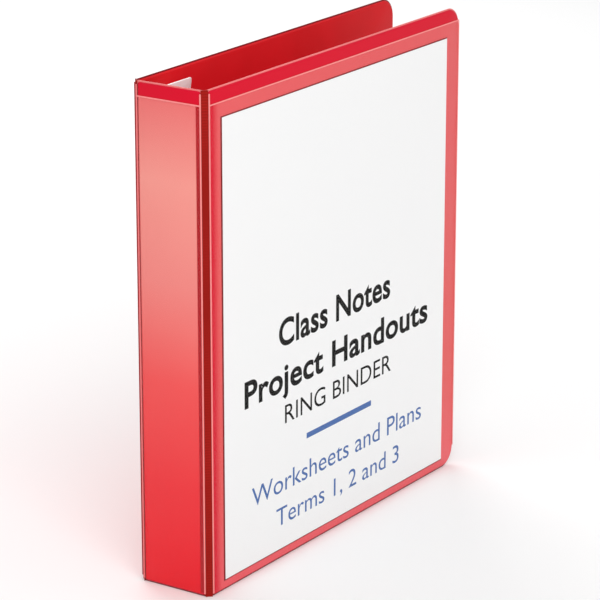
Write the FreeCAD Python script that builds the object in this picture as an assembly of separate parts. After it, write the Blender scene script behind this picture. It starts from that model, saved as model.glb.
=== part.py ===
"""Ring binder with clear outside pockets and a D-ring mechanism, one STEP file per part.

Frame: millimetres, +Z up, origin at the centre of the standing binder's base.
The spine is at -X, the open fore edge at +X, the front cover at -Y and the back cover at +Y.
The mechanism sits on the inside of the back cover; its heights are measured from that face
towards the front cover.
"""
import FreeCAD, Part
import math
import os

from FreeCAD import Vector

# Overall size of the closed binder
HEIGHT = 295.0
WIDTH = 266.0
THICKNESS = 50.5
CORNER_RADIUS = 12.0  # fore-edge corners of both covers
HINGE_SETBACK = 3.5  # each panel stops this far short of the corner it shares with the spine

# Layers of every panel, from the outside in
FILM_THICKNESS = 0.2
POCKET_GAP = 0.2
SKIN_THICKNESS = 0.3
BOARD_THICKNESS = 2.0
LINER_THICKNESS = 0.3
EDGE_MARGIN = 1.5  # skin and liner welded together around the board
HINGE_FILM_THICKNESS = 0.6

# Clear pockets on the outside
FILM_INSET = 1.0
FILM_TOP_DROP = 9.0
FILM_WELD_WIDTH = 2.0
FILM_FOOT_WELD_WIDTH = 5.5

# Sheet in the front pocket
SHEET_WIDTH = 235.5
SHEET_HEIGHT = 271.0
SHEET_THICKNESS = 0.1
SHEET_HINGE_DISTANCE = 12.0

# Pockets inside the covers
TALL_POCKET_HEIGHT = 190.0
SHORT_POCKET_HEIGHT = 130.0
INNER_POCKET_MARGIN = 6.0
INNER_POCKET_GAP = 0.3
INNER_POCKET_WELD_WIDTH = 2.0
FRONT_POCKET_SPINE_GAP = 20.0
BACK_POCKET_HOUSING_GAP = 8.0

# Ring mechanism housing
HOUSING_END_MARGIN = 22.0
HOUSING_WIDTH = 26.0
HOUSING_SIDE_HEIGHT = 5.0
HOUSING_CROWN_HEIGHT = 9.5
HOUSING_SHEET = 0.8
LIP_LOW = 2.6
LIP_HIGH = 3.3
LIP_WIDTH = 1.0
FOOT_WIDTH = 1.2

# Hinge plates carrying the rings
PLATE_THICKNESS = 0.9
PLATE_PIVOT_HEIGHT = 4.2
PLATE_SIDE_CLEARANCE = 0.2
PLATE_CENTRE_GAP = 0.5
PLATE_END_SETBACK = 11.0
PLATE_TILT = 8.0  # below level when the rings are closed, the same above it when open

# Rings
RING_PITCH = 107.95
WIRE_DIAMETER = 3.2
RING_FRONT_CLEARANCE = 4.0
RING_SPINE_CLEARANCE = 2.8
RING_FOOT_OFFSET = 7.5
RING_TIP_OFFSET = 2.0
RING_TOP_CENTRE_OFFSET = 1.0
RING_NECK_RADIUS = 4.0
POST_BEND_RADIUS = 5.0
RING_TAIL = 0.4
RING_SLOT_CLEARANCE = 0.4
TIP_GAP = 0.1
TIP_CONE_RADIUS = 1.0
TIP_CONE_END_RADIUS = 0.5
TIP_CONE_LENGTH = 1.2
TIP_CONE_CLEARANCE = 0.2

# Opening triggers
TRIGGER_PIN_SETBACK = 6.0
TRIGGER_PIN_HEIGHT = 4.0
TRIGGER_PIN_RADIUS = 1.0
TRIGGER_PIN_PROUD = 0.2
TRIGGER_RUNNING_CLEARANCE = 0.05
TRIGGER_BARREL_RADIUS = 2.2
TRIGGER_NECK_WIDTH = 8.0
TRIGGER_SHEET = 1.2
TRIGGER_PADDLE_WIDTH = 24.0
TRIGGER_PADDLE_START = 7.5
TRIGGER_PADDLE_END = 23.0
TRIGGER_CROWN_CLEARANCE = 1.3
TRIGGER_PADDLE_RISE = 1.8
TRIGGER_PADDLE_CORNER = 1.2
TRIGGER_TONGUE_WIDTH = 5.0
TRIGGER_TONGUE_LENGTH = 12.0
TRIGGER_TONGUE_LOW = 0.5
TRIGGER_TONGUE_HIGH = 1.3

# Rivets through the housing and the back cover
RIVET_SPACING = 171.0
RIVET_SHANK_RADIUS = 2.0
RIVET_DOME_RADIUS = 4.0
RIVET_DOME_HEIGHT = 1.2
RIVET_DOME_FILLET = 0.9
RIVET_HEAD_RADIUS = 5.0
RIVET_HOLE_CLEARANCE = 0.05
RIVET_HEAD_CLEARANCE = 0.2
RIVET_PLATE_CLEARANCE = 1.2

# Derived positions
SKIN_DEPTH = FILM_THICKNESS + POCKET_GAP
BOARD_DEPTH = SKIN_DEPTH + SKIN_THICKNESS
LINER_DEPTH = BOARD_DEPTH + BOARD_THICKNESS
PANEL_DEPTH = LINER_DEPTH + LINER_THICKNESS
WELD_DEPTH = (SKIN_DEPTH + PANEL_DEPTH) / 2
HINGE_X = -WIDTH / 2 + HINGE_SETBACK
SPINE_HALF = THICKNESS / 2 - HINGE_SETBACK
BACK_FACE_Y = THICKNESS / 2 - PANEL_DEPTH
INSIDE_HEIGHT = THICKNESS - 2 * PANEL_DEPTH
MID_Z = HEIGHT / 2
WIRE_RADIUS = WIRE_DIAMETER / 2
RING_SWING = 2 * PLATE_TILT
PIVOT_OFFSET = HOUSING_WIDTH / 2 - HOUSING_SHEET - PLATE_SIDE_CLEARANCE
PLATE_LENGTH = PIVOT_OFFSET - PLATE_CENTRE_GAP / 2
RING_TOP = INSIDE_HEIGHT - RING_FRONT_CLEARANCE - WIRE_RADIUS
RING_ARC_RADIUS = (RING_TOP - HOUSING_CROWN_HEIGHT) / 2
RING_ARC_HEIGHT = RING_TOP - RING_ARC_RADIUS
RING_BULGE = RING_ARC_RADIUS + RING_TOP_CENTRE_OFFSET + WIRE_RADIUS
RING_SWEEP = (RING_ARC_HEIGHT - PLATE_PIVOT_HEIGHT) * math.sin(math.radians(RING_SWING))
MECHANISM_X = -WIDTH / 2 + PANEL_DEPTH + RING_BULGE + RING_SWEEP + RING_SPINE_CLEARANCE
HOUSING_LOW_Z = HOUSING_END_MARGIN
HOUSING_HIGH_Z = HEIGHT - HOUSING_END_MARGIN
PLATE_LOW_Z = HOUSING_LOW_Z + PLATE_END_SETBACK
PLATE_HIGH_Z = HOUSING_HIGH_Z - PLATE_END_SETBACK
TRIGGER_PIN_Z = HOUSING_HIGH_Z - TRIGGER_PIN_SETBACK
TRIGGER_PADDLE_TOP = HOUSING_CROWN_HEIGHT - HOUSING_SHEET - TRIGGER_CROWN_CLEARANCE
TRIGGER_PADDLE_ROOT = TRIGGER_PADDLE_TOP - TRIGGER_SHEET
RING_LEVELS = (MID_Z - RING_PITCH, MID_Z, MID_Z + RING_PITCH)
RIVET_LEVELS = (MID_Z - RIVET_SPACING / 2, MID_Z + RIVET_SPACING / 2)


def box(low, high):
    """Box between two opposite corners."""
    return Part.makeBox(high[0] - low[0], high[1] - low[1], high[2] - low[2], Vector(*low))


def round_fore_edge(slab, x_fore, radius):
    """Round the two corners of a slab that lie on its fore edge."""
    edges = [
        edge
        for edge in slab.Edges
        if all(abs(vertex.X - x_fore) < 1e-6 for vertex in edge.Vertexes)
        and abs(edge.Vertexes[0].Y - edge.Vertexes[1].Y) > 1e-6
    ]
    return slab.makeFillet(radius, edges)


def mechanism_point(offset, height, z=0.0):
    """Point at a sideways offset from the mechanism's centre and a height above the back face."""
    return Vector(MECHANISM_X + offset, BACK_FACE_Y - height, z)


def mechanism_box(offsets, heights, levels):
    """Box between two offsets, two heights above the back face and two levels."""
    corner = mechanism_point(offsets[0], heights[1], levels[0])
    return Part.makeBox(offsets[1] - offsets[0], heights[1] - heights[0], levels[1] - levels[0], corner)


def upright_post(offset, radius, heights, z):
    """Round post standing on the back face between two heights."""
    base = mechanism_point(offset, heights[0], z)
    return Part.makeCylinder(radius, heights[1] - heights[0], base, Vector(0, -1, 0))


def mirrored_in_y(shape):
    """Copy of a back-cover shape turned into its front-cover twin."""
    return shape.mirror(Vector(0, 0, 0), Vector(0, 1, 0))


def mirrored_in_z(shape):
    """Copy of a shape reflected in the binder's mid height."""
    return shape.mirror(Vector(0, 0, MID_Z), Vector(0, 0, 1))


def cover_slab(depths, inset, drop=0.0):
    """Layer of the back cover between two depths below its outer face."""
    x_fore = WIDTH / 2 - inset
    low = (HINGE_X + inset, THICKNESS / 2 - depths[1], inset)
    high = (x_fore, THICKNESS / 2 - depths[0], HEIGHT - max(inset, drop))
    slab = box(low, high)
    if drop:
        edges = [
            edge
            for edge in slab.Edges
            if all(abs(v.X - x_fore) < 1e-6 and abs(v.Z - inset) < 1e-6 for v in edge.Vertexes)
        ]
        return slab.makeFillet(CORNER_RADIUS - inset, edges)
    return round_fore_edge(slab, x_fore, CORNER_RADIUS - inset)


def spine_slab(depths, inset, drop=0.0):
    """Layer of the spine between two depths below its outer face."""
    low = (-WIDTH / 2 + depths[0], -SPINE_HALF + inset, inset)
    high = (-WIDTH / 2 + depths[1], SPINE_HALF - inset, HEIGHT - max(inset, drop))
    return box(low, high)


def panel_layers(slab_of):
    """Board, outer skin and liner of one panel; the skins meet around the board."""
    board = slab_of((BOARD_DEPTH, LINER_DEPTH), EDGE_MARGIN)
    outer_skin = slab_of((SKIN_DEPTH, WELD_DEPTH), 0.0).cut(board)
    liner = slab_of((WELD_DEPTH, PANEL_DEPTH), 0.0).cut(board)
    return board, outer_skin, liner


def cover_view_pocket():
    """Clear film on the back cover, welded on three sides and open at the top."""
    film = cover_slab((0.0, SKIN_DEPTH), FILM_INSET, FILM_TOP_DROP)
    space = box(
        (
            HINGE_X + FILM_INSET + FILM_WELD_WIDTH,
            THICKNESS / 2 - SKIN_DEPTH,
            FILM_INSET + FILM_FOOT_WELD_WIDTH,
        ),
        (WIDTH / 2 - FILM_INSET - FILM_WELD_WIDTH, THICKNESS / 2 - FILM_THICKNESS, HEIGHT),
    )
    return film.cut(space)


def spine_view_pocket():
    """Clear film on the spine, welded on three sides and open at the top."""
    film = spine_slab((0.0, SKIN_DEPTH), FILM_INSET, FILM_TOP_DROP)
    half = SPINE_HALF - FILM_INSET - FILM_WELD_WIDTH
    space = box(
        (-WIDTH / 2 + FILM_THICKNESS, -half, FILM_INSET + FILM_FOOT_WELD_WIDTH),
        (-WIDTH / 2 + SKIN_DEPTH, half, HEIGHT),
    )
    return film.cut(space)


def front_sheet():
    """Printed sheet standing in the front pocket, clear of the film and the skin."""
    x_low = HINGE_X + SHEET_HINGE_DISTANCE
    y_mid = -THICKNESS / 2 + FILM_THICKNESS + POCKET_GAP / 2
    z_low = FILM_INSET + FILM_FOOT_WELD_WIDTH
    return box(
        (x_low, y_mid - SHEET_THICKNESS / 2, z_low),
        (x_low + SHEET_WIDTH, y_mid + SHEET_THICKNESS / 2, z_low + SHEET_HEIGHT),
    )


def inner_pocket(x_low, height, y_face):
    """Pocket welded to a surface on the inside of the back cover, open at the top."""
    x_high = WIDTH / 2 - INNER_POCKET_MARGIN
    z_low = INNER_POCKET_MARGIN
    weld = INNER_POCKET_WELD_WIDTH
    y_film = y_face - INNER_POCKET_GAP
    sheet = box((x_low, y_film - FILM_THICKNESS, z_low), (x_high, y_face, z_low + height))
    space = box((x_low + weld, y_film, z_low + weld), (x_high - weld, y_face, z_low + height))
    return sheet.cut(space)


def inner_pockets(x_low):
    """Tall pocket on the inside of the back cover and the short pocket in front of it."""
    tall = inner_pocket(x_low, TALL_POCKET_HEIGHT, BACK_FACE_Y)
    short = inner_pocket(x_low, SHORT_POCKET_HEIGHT, BACK_FACE_Y - INNER_POCKET_GAP - FILM_THICKNESS)
    return tall, short


def hinge_strip():
    """Flexible strip joining the back cover to the spine."""
    reach = HINGE_FILM_THICKNESS * math.sqrt(2)
    x_out = -WIDTH / 2
    y_out = THICKNESS / 2
    corners = [
        Vector(x_out + SKIN_DEPTH, y_out - HINGE_SETBACK, 0),
        Vector(x_out + SKIN_DEPTH + reach, y_out - HINGE_SETBACK, 0),
        Vector(x_out + HINGE_SETBACK, y_out - SKIN_DEPTH - reach, 0),
        Vector(x_out + HINGE_SETBACK, y_out - SKIN_DEPTH, 0),
    ]
    return Part.Face(Part.makePolygon(corners + corners[:1])).extrude(Vector(0, 0, HEIGHT))


def arched_bar(half_width, side_height, crown_height):
    """Solid bar with upright sides and an arched top, the length of the housing."""
    left_foot = mechanism_point(-half_width, 0.0, HOUSING_LOW_Z)
    left = mechanism_point(-half_width, side_height, HOUSING_LOW_Z)
    crown = mechanism_point(0.0, crown_height, HOUSING_LOW_Z)
    right = mechanism_point(half_width, side_height, HOUSING_LOW_Z)
    right_foot = mechanism_point(half_width, 0.0, HOUSING_LOW_Z)
    wire = Part.Wire(
        [
            Part.makeLine(left_foot, left),
            Part.Arc(left, crown, right).toShape(),
            Part.makeLine(right, right_foot),
            Part.makeLine(right_foot, left_foot),
        ]
    )
    return Part.Face(wire).extrude(Vector(0, 0, HOUSING_HIGH_Z - HOUSING_LOW_Z))


def ring_housing():
    """Arched sheet-steel housing with lips under the plates and slots for the rings."""
    half = HOUSING_WIDTH / 2
    inner_half = half - HOUSING_SHEET
    shell = arched_bar(half, HOUSING_SIDE_HEIGHT, HOUSING_CROWN_HEIGHT).cut(
        arched_bar(inner_half, HOUSING_SIDE_HEIGHT, HOUSING_CROWN_HEIGHT - HOUSING_SHEET)
    )
    for side in (-1, 1):
        for width, heights in ((LIP_WIDTH, (LIP_LOW, LIP_HIGH)), (FOOT_WIDTH, (0.0, HOUSING_SHEET))):
            offsets = sorted((side * inner_half, side * (inner_half - width)))
            shell = shell.fuse(mechanism_box(offsets, heights, (PLATE_LOW_Z, PLATE_HIGH_Z)))
    swing = math.radians(RING_SWING)
    rise = HOUSING_CROWN_HEIGHT - PLATE_PIVOT_HEIGHT
    travel = rise * math.sin(swing) + (PIVOT_OFFSET - RING_FOOT_OFFSET) * (1 - math.cos(swing))
    slot_near = RING_FOOT_OFFSET - WIRE_RADIUS - RING_SLOT_CLEARANCE
    slot_far = RING_FOOT_OFFSET + travel + WIRE_RADIUS + RING_SLOT_CLEARANCE
    half_slot = WIRE_RADIUS + RING_SLOT_CLEARANCE
    slot_heights = (HOUSING_SIDE_HEIGHT, HOUSING_CROWN_HEIGHT)
    for z in RING_LEVELS:
        for side in (-1, 1):
            offsets = sorted((side * slot_near, side * slot_far))
            shell = shell.cut(mechanism_box(offsets, slot_heights, (z - half_slot, z + half_slot)))
    hole_radius = RIVET_SHANK_RADIUS + RIVET_HOLE_CLEARANCE
    for z in RIVET_LEVELS:
        shell = shell.cut(upright_post(0.0, hole_radius, (HOUSING_SIDE_HEIGHT, HOUSING_CROWN_HEIGHT), z))
    for pin in (trigger_pin(), mirrored_in_z(trigger_pin())):
        shell = shell.cut(pin)
    return shell.removeSplitter()


def hinge_plate(side):
    """Plate on one side of the housing, tilted down to the middle as when the rings are closed."""
    play = PLATE_SIDE_CLEARANCE / 2
    offsets = sorted((side * (PIVOT_OFFSET - play), side * (PIVOT_OFFSET - PLATE_LENGTH)))
    half = PLATE_THICKNESS / 2
    heights = (PLATE_PIVOT_HEIGHT - half, PLATE_PIVOT_HEIGHT + half)
    plate = mechanism_box(offsets, heights, (PLATE_LOW_Z, PLATE_HIGH_Z))
    pivot = mechanism_point(side * PIVOT_OFFSET, PLATE_PIVOT_HEIGHT)
    plate.rotate(pivot, Vector(0, 0, 1), -side * PLATE_TILT)
    for z in RING_LEVELS:
        plate = plate.cut(upright_post(side * RING_FOOT_OFFSET, WIRE_RADIUS, (0.0, HOUSING_CROWN_HEIGHT), z))
    for z in RIVET_LEVELS:
        radius = RIVET_SHANK_RADIUS + RIVET_PLATE_CLEARANCE
        plate = plate.cut(upright_post(0.0, radius, (0.0, HOUSING_CROWN_HEIGHT), z))
    return plate


def ring_foot_height():
    """Height of a ring wire's lower end, just through its tilted plate."""
    droop = (PIVOT_OFFSET - RING_FOOT_OFFSET) * math.tan(math.radians(PLATE_TILT))
    return PLATE_PIVOT_HEIGHT - droop - PLATE_THICKNESS / 2 - RING_TAIL


def swept_wire(segments, foot, z):
    """Round wire swept along joined segments that start upright at the foot."""
    start = mechanism_point(foot, ring_foot_height(), z)
    profile = Part.Wire(Part.makeCircle(WIRE_RADIUS, start, Vector(0, -1, 0)))
    return Part.Wire(segments).makePipeShell([profile], True, False, 2)


def post_ring_half(z):
    """Straight-post half of a ring, with a socket in its tip."""
    foot = mechanism_point(RING_FOOT_OFFSET, ring_foot_height(), z)
    bend_low = mechanism_point(RING_FOOT_OFFSET, RING_TOP - POST_BEND_RADIUS, z)
    bend_centre_offset = RING_FOOT_OFFSET - POST_BEND_RADIUS
    diagonal = POST_BEND_RADIUS * math.sqrt(0.5)
    bend_mid = mechanism_point(bend_centre_offset + diagonal, RING_TOP - POST_BEND_RADIUS + diagonal, z)
    bend_high = mechanism_point(bend_centre_offset, RING_TOP, z)
    tip_offset = RING_TIP_OFFSET + TIP_GAP / 2
    tip = mechanism_point(tip_offset, RING_TOP, z)
    half = swept_wire(
        [
            Part.makeLine(foot, bend_low),
            Part.Arc(bend_low, bend_mid, bend_high).toShape(),
            Part.makeLine(bend_high, tip),
        ],
        RING_FOOT_OFFSET,
        z,
    )
    socket = Part.makeCone(
        TIP_CONE_RADIUS + TIP_CONE_CLEARANCE,
        TIP_CONE_END_RADIUS + TIP_CONE_CLEARANCE,
        TIP_CONE_LENGTH + TIP_CONE_CLEARANCE,
        tip,
        Vector(1, 0, 0),
    )
    return half.cut(socket)


def curved_ring_half(z):
    """Curved half of a ring, bulging towards the spine, with a cone on its tip."""
    arc_u = -RING_TOP_CENTRE_OFFSET
    neck_u = -RING_FOOT_OFFSET - RING_NECK_RADIUS
    reach = RING_ARC_RADIUS + RING_NECK_RADIUS
    neck_h = RING_ARC_HEIGHT - math.sqrt(reach**2 - (neck_u - arc_u) ** 2)
    share = RING_ARC_RADIUS / reach
    join_u = arc_u + share * (neck_u - arc_u)
    join_h = RING_ARC_HEIGHT + share * (neck_h - RING_ARC_HEIGHT)
    turn = math.atan2(RING_ARC_HEIGHT - neck_h, arc_u - neck_u) / 2
    neck_mid_u = neck_u + RING_NECK_RADIUS * math.cos(turn)
    neck_mid_h = neck_h + RING_NECK_RADIUS * math.sin(turn)
    foot = mechanism_point(-RING_FOOT_OFFSET, ring_foot_height(), z)
    neck_low = mechanism_point(-RING_FOOT_OFFSET, neck_h, z)
    neck_mid = mechanism_point(neck_mid_u, neck_mid_h, z)
    join = mechanism_point(join_u, join_h, z)
    bulge = mechanism_point(arc_u - RING_ARC_RADIUS, RING_ARC_HEIGHT, z)
    top = mechanism_point(arc_u, RING_TOP, z)
    tip = mechanism_point(RING_TIP_OFFSET - TIP_GAP / 2, RING_TOP, z)
    half = swept_wire(
        [
            Part.makeLine(foot, neck_low),
            Part.Arc(neck_low, neck_mid, join).toShape(),
            Part.Arc(join, bulge, top).toShape(),
            Part.makeLine(top, tip),
        ],
        -RING_FOOT_OFFSET,
        z,
    )
    cone = Part.makeCone(TIP_CONE_RADIUS, TIP_CONE_END_RADIUS, TIP_CONE_LENGTH, tip, Vector(1, 0, 0))
    return half.fuse(cone)


def trigger_pin():
    """Cross pin of the upper trigger, riveted into both sides of the housing."""
    half = HOUSING_WIDTH / 2 + TRIGGER_PIN_PROUD
    start = mechanism_point(-half, TRIGGER_PIN_HEIGHT, TRIGGER_PIN_Z)
    return Part.makeCylinder(TRIGGER_PIN_RADIUS, 2 * half, start, Vector(1, 0, 0))


def side_profile(points, width):
    """Prism across the mechanism from points given as distance above the upper pin and height."""
    corners = [mechanism_point(-width / 2, height, TRIGGER_PIN_Z + rise) for rise, height in points]
    return Part.Face(Part.makePolygon(corners + corners[:1])).extrude(Vector(width, 0, 0))


def trigger():
    """Upper opening trigger: finger paddle, pivot barrel and a tongue under the plates."""
    start = mechanism_point(-TRIGGER_NECK_WIDTH / 2, TRIGGER_PIN_HEIGHT, TRIGGER_PIN_Z)
    barrel = Part.makeCylinder(TRIGGER_BARREL_RADIUS, TRIGGER_NECK_WIDTH, start, Vector(1, 0, 0))
    neck = side_profile(
        [
            (0.0, TRIGGER_PIN_HEIGHT + TRIGGER_BARREL_RADIUS - TRIGGER_SHEET),
            (0.0, TRIGGER_PIN_HEIGHT + TRIGGER_BARREL_RADIUS),
            (TRIGGER_PADDLE_START, TRIGGER_PADDLE_TOP),
            (TRIGGER_PADDLE_START, TRIGGER_PADDLE_ROOT),
        ],
        TRIGGER_NECK_WIDTH,
    )
    paddle = side_profile(
        [
            (TRIGGER_PADDLE_START, TRIGGER_PADDLE_ROOT),
            (TRIGGER_PADDLE_START, TRIGGER_PADDLE_TOP),
            (TRIGGER_PADDLE_END, TRIGGER_PADDLE_TOP + TRIGGER_PADDLE_RISE),
            (TRIGGER_PADDLE_END, TRIGGER_PADDLE_ROOT + TRIGGER_PADDLE_RISE),
        ],
        TRIGGER_PADDLE_WIDTH,
    )
    tip_z = TRIGGER_PIN_Z + TRIGGER_PADDLE_END
    tip_edges = [
        edge
        for edge in paddle.Edges
        if all(abs(v.Z - tip_z) < 1e-6 for v in edge.Vertexes)
        and abs(edge.Vertexes[0].Y - edge.Vertexes[1].Y) > 1e-6
    ]
    paddle = paddle.makeFillet(TRIGGER_PADDLE_CORNER, tip_edges)
    tongue = side_profile(
        [
            (-TRIGGER_TONGUE_LENGTH, TRIGGER_TONGUE_LOW),
            (-TRIGGER_TONGUE_LENGTH, TRIGGER_TONGUE_HIGH),
            (-TRIGGER_BARREL_RADIUS, TRIGGER_TONGUE_HIGH),
            (-TRIGGER_BARREL_RADIUS, TRIGGER_PIN_HEIGHT),
            (0.0, TRIGGER_PIN_HEIGHT),
            (0.0, TRIGGER_TONGUE_LOW),
        ],
        TRIGGER_TONGUE_WIDTH,
    )
    bore_start = mechanism_point(-TRIGGER_NECK_WIDTH, TRIGGER_PIN_HEIGHT, TRIGGER_PIN_Z)
    bore_radius = TRIGGER_PIN_RADIUS + TRIGGER_RUNNING_CLEARANCE
    bore = Part.makeCylinder(bore_radius, 2 * TRIGGER_NECK_WIDTH, bore_start, Vector(1, 0, 0))
    return barrel.fuse([neck, paddle, tongue]).cut(bore).removeSplitter()


def rivet(z):
    """Rivet with a dome on the housing and a flat head flush with the back cover's outside."""
    shank = upright_post(0.0, RIVET_SHANK_RADIUS, (-PANEL_DEPTH, HOUSING_CROWN_HEIGHT), z)
    top = HOUSING_CROWN_HEIGHT + RIVET_DOME_HEIGHT
    dome = upright_post(0.0, RIVET_DOME_RADIUS, (HOUSING_CROWN_HEIGHT, top), z)
    rim = [edge for edge in dome.Edges if all(abs(v.Y - (BACK_FACE_Y - top)) < 1e-6 for v in edge.Vertexes)]
    dome = dome.makeFillet(RIVET_DOME_FILLET, rim)
    head = upright_post(0.0, RIVET_HEAD_RADIUS, (-PANEL_DEPTH, -PANEL_DEPTH + BOARD_DEPTH), z)
    return shank.fuse([dome, head]).removeSplitter()


def drilled_for_rivets(layer, radius):
    """Back-cover layer with a hole at each rivet."""
    for z in RIVET_LEVELS:
        layer = layer.cut(upright_post(0.0, radius, (-PANEL_DEPTH, 0.0), z))
    return layer


def build():
    """All parts by node name."""
    board, outer_skin, liner = panel_layers(cover_slab)
    spine_board, spine_outer_skin, spine_liner = panel_layers(spine_slab)
    shank_hole = RIVET_SHANK_RADIUS + RIVET_HOLE_CLEARANCE
    head_hole = RIVET_HEAD_RADIUS + RIVET_HEAD_CLEARANCE
    back_tall, back_short = inner_pockets(MECHANISM_X + HOUSING_WIDTH / 2 + BACK_POCKET_HOUSING_GAP)
    front_tall, front_short = inner_pockets(HINGE_X + FRONT_POCKET_SPINE_GAP)
    parts = {
        "back_board": drilled_for_rivets(board, shank_hole),
        "back_outer_skin": drilled_for_rivets(outer_skin, head_hole),
        "back_liner": drilled_for_rivets(liner, shank_hole),
        "back_view_pocket": drilled_for_rivets(cover_view_pocket(), head_hole),
        "back_tall_pocket": back_tall,
        "back_short_pocket": back_short,
        "back_hinge_strip": hinge_strip(),
        "spine_board": spine_board,
        "spine_outer_skin": spine_outer_skin,
        "spine_liner": spine_liner,
        "spine_view_pocket": spine_view_pocket(),
        "front_hinge_strip": mirrored_in_y(hinge_strip()),
        "front_board": mirrored_in_y(board),
        "front_outer_skin": mirrored_in_y(outer_skin),
        "front_liner": mirrored_in_y(liner),
        "front_view_pocket": mirrored_in_y(cover_view_pocket()),
        "front_tall_pocket": mirrored_in_y(front_tall),
        "front_short_pocket": mirrored_in_y(front_short),
        "front_sheet": front_sheet(),
        "ring_housing": ring_housing(),
        "post_plate": hinge_plate(1),
        "curved_plate": hinge_plate(-1),
        "trigger_pin_upper": trigger_pin(),
        "trigger_pin_lower": mirrored_in_z(trigger_pin()),
        "trigger_upper": trigger(),
        "trigger_lower": mirrored_in_z(trigger()),
    }
    for name, z in zip(("lower", "upper"), RIVET_LEVELS):
        parts[f"rivet_{name}"] = rivet(z)
    for name, z in zip(("lower", "middle", "upper"), RING_LEVELS):
        parts[f"post_ring_{name}"] = post_ring_half(z)
        parts[f"curved_ring_{name}"] = curved_ring_half(z)
    return parts


os.makedirs("parts", exist_ok=True)
for node, shape in build().items():
    shape.exportStep(f"parts/{node}.step")
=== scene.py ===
"""Looks of a ring binder with clear outside pockets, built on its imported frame."""

import logging
import math
from dataclasses import dataclass, field
from enum import Enum
from typing import Callable, Sequence

import bmesh
import bpy
from mathutils import Matrix, Vector


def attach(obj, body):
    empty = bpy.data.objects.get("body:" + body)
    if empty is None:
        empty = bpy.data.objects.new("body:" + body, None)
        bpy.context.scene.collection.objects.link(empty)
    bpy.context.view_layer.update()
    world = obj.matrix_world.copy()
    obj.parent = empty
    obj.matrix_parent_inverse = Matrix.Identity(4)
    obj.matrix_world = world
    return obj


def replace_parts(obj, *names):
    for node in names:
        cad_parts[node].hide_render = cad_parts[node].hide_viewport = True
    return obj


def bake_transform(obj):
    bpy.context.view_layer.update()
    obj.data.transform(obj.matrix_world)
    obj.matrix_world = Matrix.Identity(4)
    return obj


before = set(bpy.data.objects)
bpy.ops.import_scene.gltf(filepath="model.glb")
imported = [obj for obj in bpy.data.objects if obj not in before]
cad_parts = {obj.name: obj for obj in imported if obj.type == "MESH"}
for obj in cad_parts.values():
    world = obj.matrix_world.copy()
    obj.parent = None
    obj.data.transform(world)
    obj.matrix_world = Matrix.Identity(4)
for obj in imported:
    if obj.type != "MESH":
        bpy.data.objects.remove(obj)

LOG = logging.getLogger("ring_binder")
MM = 0.001
VINYL_IOR = 1.53
RESIN_IOR = 1.5  # printing ink, paper coating and powder coat
WAVE_BANDS = 3.2  # bands that a wave texture draws per unit of its scale
NOISE_CORE = (0.35, 0.65)  # where most of a noise texture's values lie
Corner = tuple[float, float, float]


# ---------------------------------------------------------------- helpers


def linear(hex_colour: str) -> tuple[float, float, float, float]:
    """Turn an sRGB hex colour into linear light.

    Args:
        hex_colour: Six hex digits, with or without a leading #.

    Returns:
        Linear red, green and blue, and an alpha of 1.
    """
    digits = hex_colour.lstrip("#")
    channels = [int(digits[i : i + 2], 16) / 255 for i in (0, 2, 4)]
    bent = [c / 12.92 if c <= 0.04045 else ((c + 0.055) / 1.055) ** 2.4 for c in channels]
    return (bent[0], bent[1], bent[2], 1.0)


def per_metre(millimetres: float) -> float:
    """Pattern scale, in repeats per metre, of a feature that many millimetres across."""
    return 1000.0 / millimetres


def add_node(
    tree: bpy.types.NodeTree, kind: str, values: dict | None = None, **settings: object
) -> bpy.types.Node:
    """Add a node with its settings, input values and links.

    Args:
        tree: The tree that gets the node.
        kind: The node's type name.
        values: Input values by socket name or index; an output socket there is linked.
        settings: Attributes of the node itself.

    Returns:
        The new node.
    """
    node = tree.nodes.new(kind)
    for name, value in settings.items():
        setattr(node, name, value)
    for key, value in (values or {}).items():
        if isinstance(value, bpy.types.NodeSocket):
            tree.links.new(value, node.inputs[key])
        else:
            node.inputs[key].default_value = value
    return node


def paint(obj: bpy.types.Object, material: bpy.types.Material) -> None:
    """Give an object this one material."""
    obj.data.materials.clear()
    obj.data.materials.append(material)


def dress_node(node: str, material: bpy.types.Material) -> None:
    """Give a carried-over node this one material and report it."""
    paint(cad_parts[node], material)
    LOG.info("dressed %s", node)


# ---------------------------------------------------------------- finishes


class Finish:
    """What every finish shares: a Principled shader fed by patterns in object coordinates."""

    name: str

    def inputs(self, tree: bpy.types.NodeTree, place: bpy.types.NodeSocket) -> dict:
        """Add the finish's patterns.

        Args:
            tree: The material's tree.
            place: The socket of its object coordinates.

        Returns:
            The shader's input values by socket name.
        """
        raise NotImplementedError

    def build(self) -> bpy.types.Material:
        """Make the material.

        Returns:
            The new material.
        """
        material = bpy.data.materials.new(self.name)
        material.use_nodes = True
        tree = material.node_tree
        tree.nodes.clear()
        place = add_node(tree, "ShaderNodeTexCoord").outputs["Object"]
        shader = add_node(tree, "ShaderNodeBsdfPrincipled", self.inputs(tree, place))
        add_node(tree, "ShaderNodeOutputMaterial", {"Surface": shader.outputs["BSDF"]})
        return material


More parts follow.
